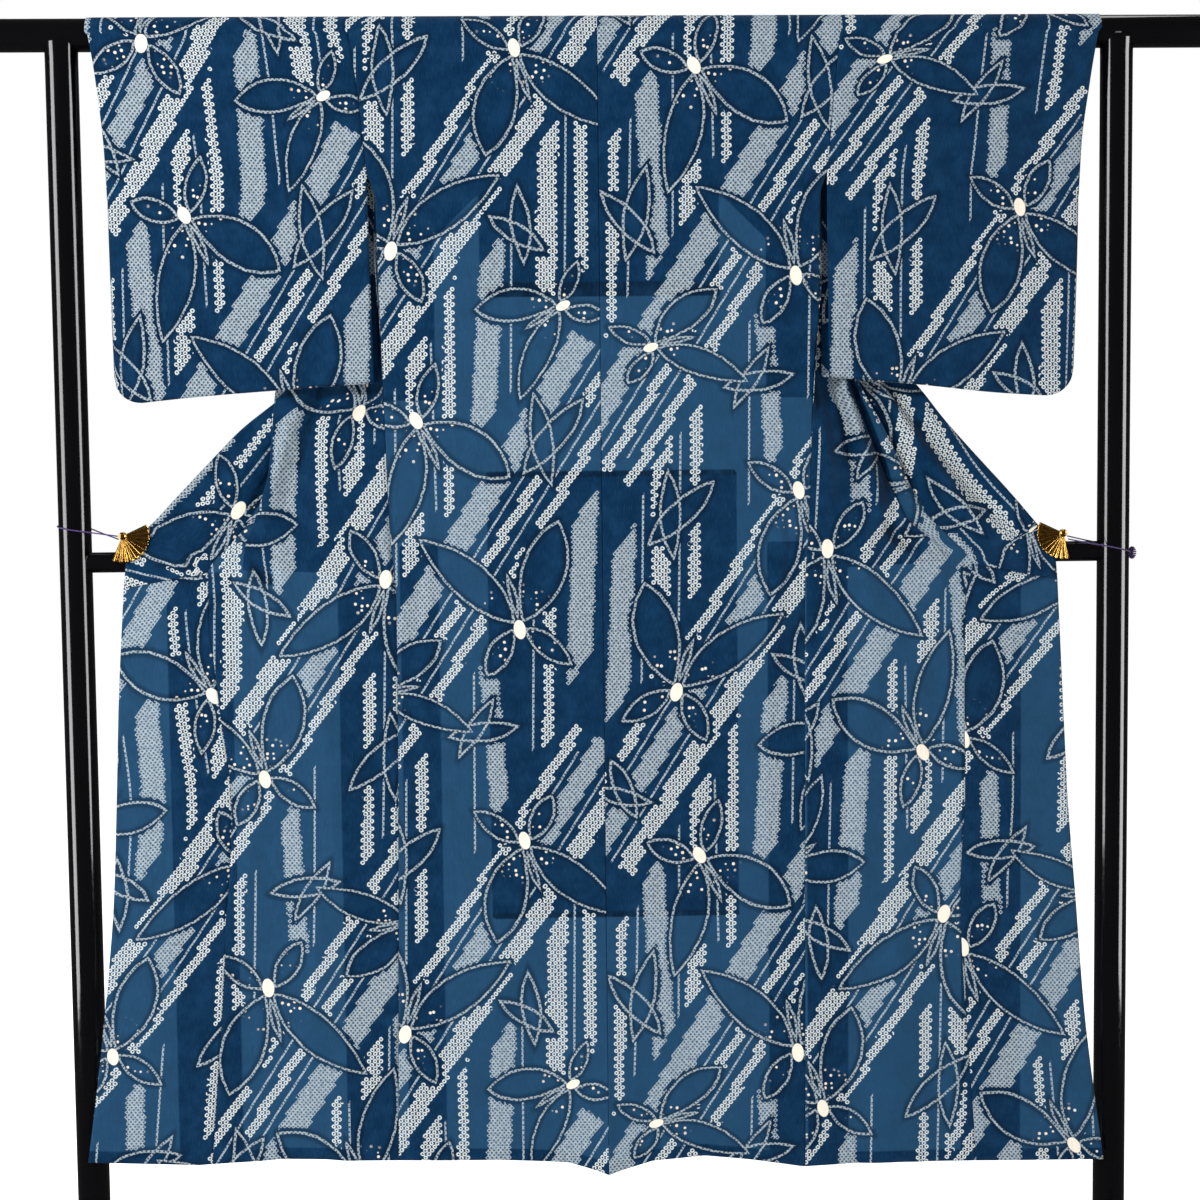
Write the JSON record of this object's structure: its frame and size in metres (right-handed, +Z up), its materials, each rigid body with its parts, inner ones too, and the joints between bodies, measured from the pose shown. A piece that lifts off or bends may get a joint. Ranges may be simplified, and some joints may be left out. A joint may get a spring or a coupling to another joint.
{
  "type": "yukata on a kimono stand",
  "caption": "Indigo and white tie-dyed summer robe hung by its sleeves on a black lacquered stand, its back shown flat and both fronts drawn out to the posts with fan clips.",
  "frame": {"origin": "on the floor, under the middle of the stand", "axes": "+Z up, the back of the robe faces -Y, +X to the right of a viewer who looks at the back"},
  "size_m": [1.8, 0.42, 1.7228],
  "materials": {
    "cloth": "soft sheer cloth, indigo ground with white dotted pattern",
    "lining": "plain indigo cloth, matte",
    "lacquer": "black, high gloss",
    "gold": "polished gold plate",
    "cord": "violet braided cord, satin"
  },
  "bodies": {
    "root": {"top_rail": "lacquer", "mid_rail": "lacquer", "post_left": "lacquer", "post_right": "lacquer", "foot_left": "lacquer", "foot_right": "lacquer", "back_left": "cloth", "back_right": "cloth", "front_left": "cloth", "front_right": "cloth", "overlap_left": "cloth", "overlap_right": "cloth", "sleeve_left": "cloth", "sleeve_right": "cloth", "collar": "cloth", "shoulder_lining": "lining", "seat_lining": "lining", "clip_left": "gold", "clip_right": "gold", "cord_left": "cord", "cord_right": "cord"}
  },
  "joints": []
}
